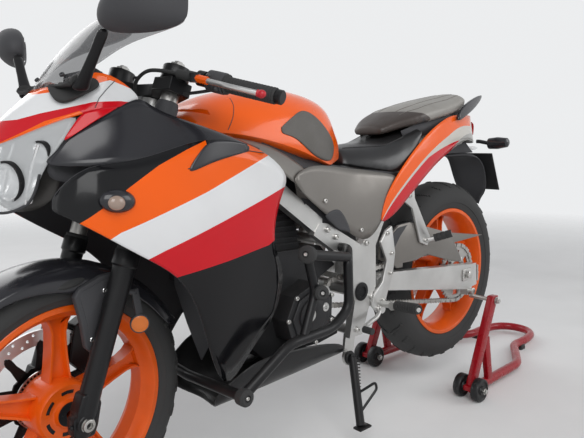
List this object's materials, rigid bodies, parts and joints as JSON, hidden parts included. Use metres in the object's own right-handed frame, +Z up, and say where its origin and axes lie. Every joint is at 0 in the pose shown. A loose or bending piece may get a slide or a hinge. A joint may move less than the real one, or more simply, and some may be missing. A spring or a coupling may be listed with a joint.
{
  "type": "sport motorcycle on a paddock stand",
  "caption": "Small faired road motorcycle with a steered fork, turning wheels and a folding side stand, held level by a rear paddock stand.",
  "frame": {"origin": "on the floor under the middle of the whole part, in the motorcycle's middle plane", "axes": "+X points backwards, +Y to the rider's right and +Z up, so the motorcycle faces -X"},
  "size_m": [2.3563, 0.724, 1.128],
  "materials": {
    "tyre_rubber": "matt",
    "orange_wheel": "satin",
    "disc_steel": "satin",
    "chain_steel": "satin",
    "black_metal": "satin",
    "silver_alloy": "satin",
    "engine_alloy": "matt",
    "orange_panel": "gloss",
    "orange_tank": "gloss",
    "gloss_black": "gloss",
    "matt_black": "matt",
    "grey_panel": "satin",
    "smoke_screen": "clear",
    "clear_lens": "clear",
    "signal_lens": "gloss",
    "black_vinyl": "satin",
    "red_frame": "gloss",
    "black_roller": "satin",
    "exhaust_steel": "satin",
    "grip_rubber": "matt"
  },
  "bodies": {
    "chassis": {"chain": "chain_steel", "main_frame": "silver_alloy", "engine": "engine_alloy", "radiator": "black_metal", "exhaust": "exhaust_steel", "swingarm": "silver_alloy", "shock_absorber": "chain_steel", "chain_guard": "grey_panel", "side_fairing_left": "orange_panel", "side_fairing_right": "orange_panel", "upper_fairing": "orange_panel", "windscreen": "smoke_screen", "headlight": "clear_lens", "inner_cowl": "gloss_black", "belly_pan": "matt_black", "fuel_tank": "orange_tank", "rider_seat": "black_vinyl", "pillion_seat": "black_vinyl", "tail_cowl": "orange_panel", "grab_rails": "grey_panel", "side_covers": "grey_panel", "rear_fender": "matt_black", "signal_lights": "signal_lens", "instrument_cluster": "matt_black", "mirrors": "matt_black", "rider_footrests": "silver_alloy", "pillion_footrests": "silver_alloy", "crash_bars": "black_metal", "paddock_stand": "red_frame"},
    "steering": {"fork": "black_metal", "fork_yokes": "black_metal", "handlebars": "grip_rubber", "hand_levers": "silver_alloy", "front_fender": "gloss_black", "front_caliper": "black_metal"},
    "front_wheel": {"front_tyre": "tyre_rubber", "front_rim": "orange_wheel", "front_disc": "disc_steel"},
    "rear_wheel": {"rear_tyre": "tyre_rubber", "rear_rim": "orange_wheel", "rear_disc": "disc_steel", "rear_sprocket": "disc_steel"},
    "side_stand": {"side_stand": "black_metal"},
    "rollers_left": {"stand_rollers_left": "black_roller"},
    "rollers_right": {"stand_rollers_right": "black_roller"}
  },
  "joints": [
    {"name": "steering_turn", "type": "hinge", "parent": "chassis", "child": "steering", "pos_m": [-0.71061, 0, 0.7], "axis": [0.3173, 0, 0.9483], "range_deg": [-42, 28]},
    {"name": "front_wheel_spin", "type": "hinge", "parent": "steering", "child": "front_wheel", "pos_m": [-0.88474, -0.00445, 0.29376], "axis": [-0.1156, 0.9925, 0.0387], "continuous": true},
    {"name": "rear_wheel_spin", "type": "hinge", "parent": "chassis", "child": "rear_wheel", "pos_m": [0.485, 0, 0.39], "axis": [0, 1, 0], "continuous": true},
    {"name": "side_stand_fold", "type": "hinge", "parent": "chassis", "child": "side_stand", "pos_m": [-0.11, -0.116, 0.236], "axis": [0.076, -0.9673, 0.2421], "range_deg": [0, 88]},
    {"name": "rollers_left_spin", "type": "hinge", "parent": "chassis", "child": "rollers_left", "pos_m": [0.39, -0.216, 0.038], "axis": [0, 1, 0], "continuous": true},
    {"name": "rollers_right_spin", "type": "hinge", "parent": "chassis", "child": "rollers_right", "pos_m": [0.39, 0.216, 0.038], "axis": [0, 1, 0], "continuous": true}
  ]
}
